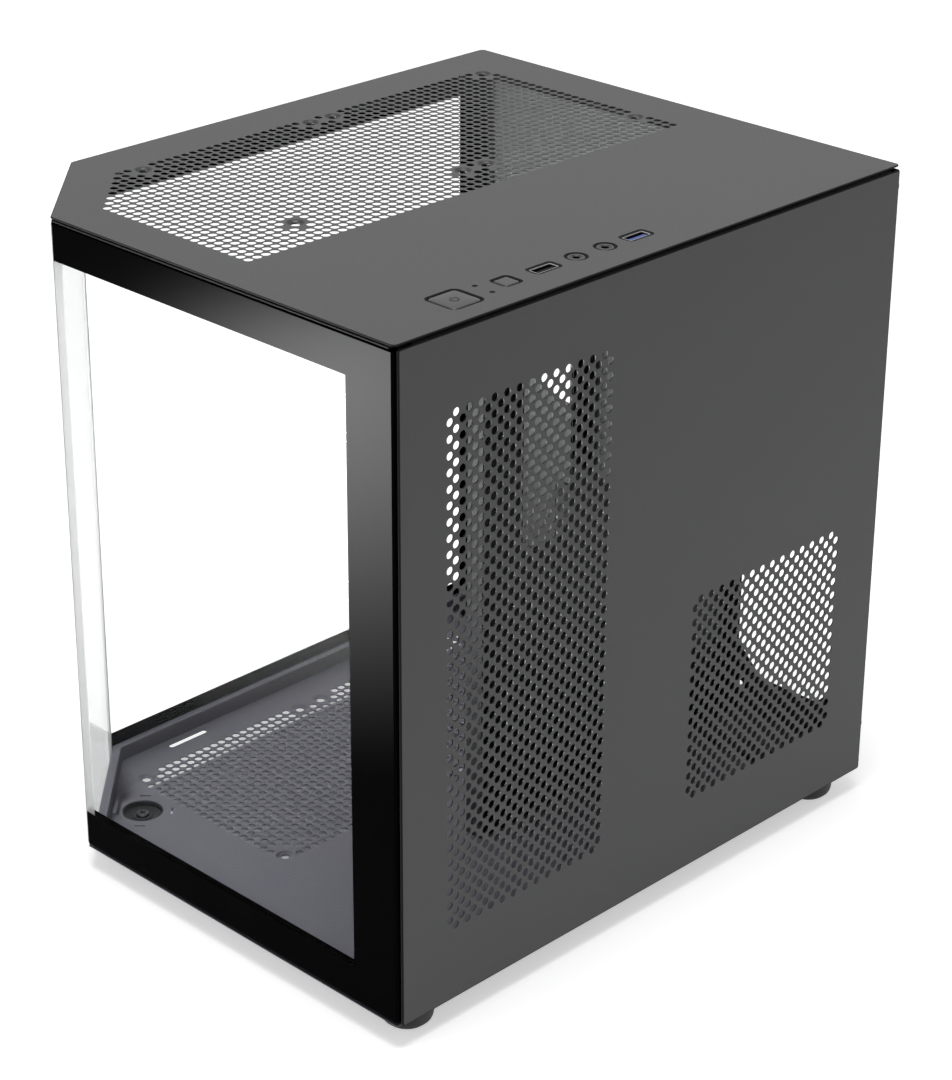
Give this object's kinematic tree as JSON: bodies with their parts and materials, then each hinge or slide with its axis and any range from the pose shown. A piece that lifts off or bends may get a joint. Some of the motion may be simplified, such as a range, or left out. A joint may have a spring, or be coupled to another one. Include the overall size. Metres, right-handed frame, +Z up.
{
  "type": "mini tower pc case",
  "caption": "Dual chamber mini tower PC case with glass front, glass corner and left side, perforated steel roof and side panel, top controls and sockets.",
  "frame": {"origin": "on the ground, below the middle of the case's bounding box", "axes": "+X to the right seen from the front, the front glass faces -Y, +Z up"},
  "size_m": [0.275, 0.3396, 0.337],
  "materials": {
    "powder_coat": "fine sand texture powder coat",
    "black_screw": "black oxide",
    "zinc_steel": "zinc plated",
    "brass_post": "turned brass",
    "tinted_glass": "clear tempered glass with black printed border",
    "clear_glass": "clear tempered glass",
    "foam": "black closed-cell foam",
    "black_plastic": "fine matte",
    "blue_plastic": "matte",
    "clear_plastic": "clear",
    "circuit_board": "solder mask",
    "plated_shell": "bright plated steel",
    "black_rubber": "matte rubber"
  },
  "bodies": {
    "chassis": {"bottom_tray": "powder_coat", "rear_panel": "powder_coat", "rear_edge_left": "powder_coat", "rear_edge_right": "powder_coat", "motherboard_tray": "powder_coat", "top_frame": "powder_coat", "front_post": "powder_coat", "top_plate": "powder_coat", "drive_bracket": "powder_coat", "slot_cover_1": "powder_coat", "slot_cover_2": "powder_coat", "slot_cover_3": "powder_coat", "slot_cover_4": "powder_coat", "slot_screws": "black_screw", "foot_screws": "black_screw", "panel_nuts": "zinc_steel", "board_standoffs": "brass_post", "front_glass": "tinted_glass", "corner_glass": "clear_glass", "glass_tape": "foam", "glass_clips": "black_plastic", "supply_pads": "foam", "io_housing": "black_plastic", "io_board": "circuit_board", "button_switches": "black_plastic", "usb2_port": "plated_shell", "usb3_port": "plated_shell", "usb2_tongue": "black_plastic", "usb3_tongue": "blue_plastic", "headphone_jack": "black_plastic", "microphone_jack": "black_plastic", "light_pipes": "clear_plastic", "foot_front_left": "black_plastic", "foot_front_right": "black_plastic", "foot_rear_left": "black_plastic", "foot_rear_right": "black_plastic", "foot_pads": "black_rubber"},
    "left_glass_panel": {"left_glass": "tinted_glass", "left_glass_studs": "zinc_steel"},
    "side_panel": {"right_panel": "powder_coat", "panel_thumbscrews": "black_screw"},
    "power_button_body": {"power_button": "black_plastic"},
    "reset_button_body": {"reset_button": "black_plastic"}
  },
  "joints": [
    {"name": "side_panel_slide", "type": "slide", "parent": "chassis", "child": "side_panel", "axis": [0, 1, 0], "range_m": [0, 0.33]},
    {"name": "left_glass_pull", "type": "slide", "parent": "chassis", "child": "left_glass_panel", "axis": [-1, 0, 0], "range_m": [0, 0.08]},
    {"name": "power_button_press", "type": "slide", "parent": "chassis", "child": "power_button_body", "axis": [0, 0, -1], "range_m": [0, 0.0008], "stiffness_N_per_m": 300, "springref_m": -0.001},
    {"name": "reset_button_press", "type": "slide", "parent": "chassis", "child": "reset_button_body", "axis": [0, 0, -1], "range_m": [0, 0.0006], "stiffness_N_per_m": 300, "springref_m": -0.001}
  ]
}
